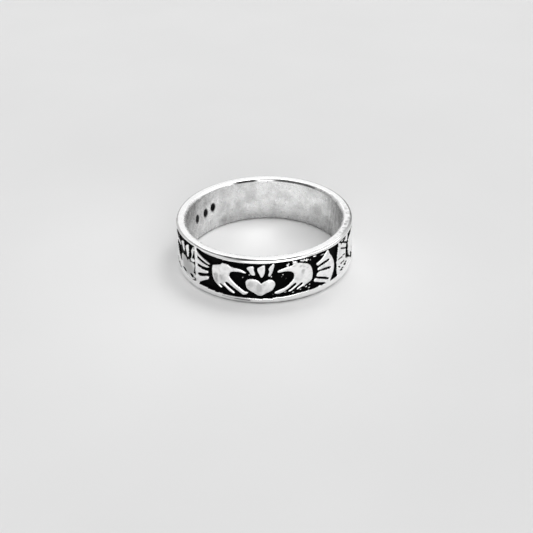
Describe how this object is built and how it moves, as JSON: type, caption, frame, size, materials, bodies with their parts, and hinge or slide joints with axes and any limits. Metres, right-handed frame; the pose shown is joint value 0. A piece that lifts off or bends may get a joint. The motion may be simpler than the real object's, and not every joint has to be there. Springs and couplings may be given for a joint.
{
  "type": "claddagh ring",
  "caption": "Flat silver ring band with a sunk dark panel and a raised repeating pattern of hands holding crowned hearts.",
  "frame": {"origin": "centre of the lower rim's plane, on the finger axis, where the ring lies on a surface", "axes": "+Z along the finger axis, up from the lower rim to the upper rim; minus Y is the side that the picture shows in front"},
  "size_m": [0.0206, 0.0206, 0.0056],
  "materials": {
    "silver": "polished sterling silver, satin inside, blackened in the sunk panel"
  },
  "bodies": {
    "root": {"band": "silver"}
  },
  "joints": []
}
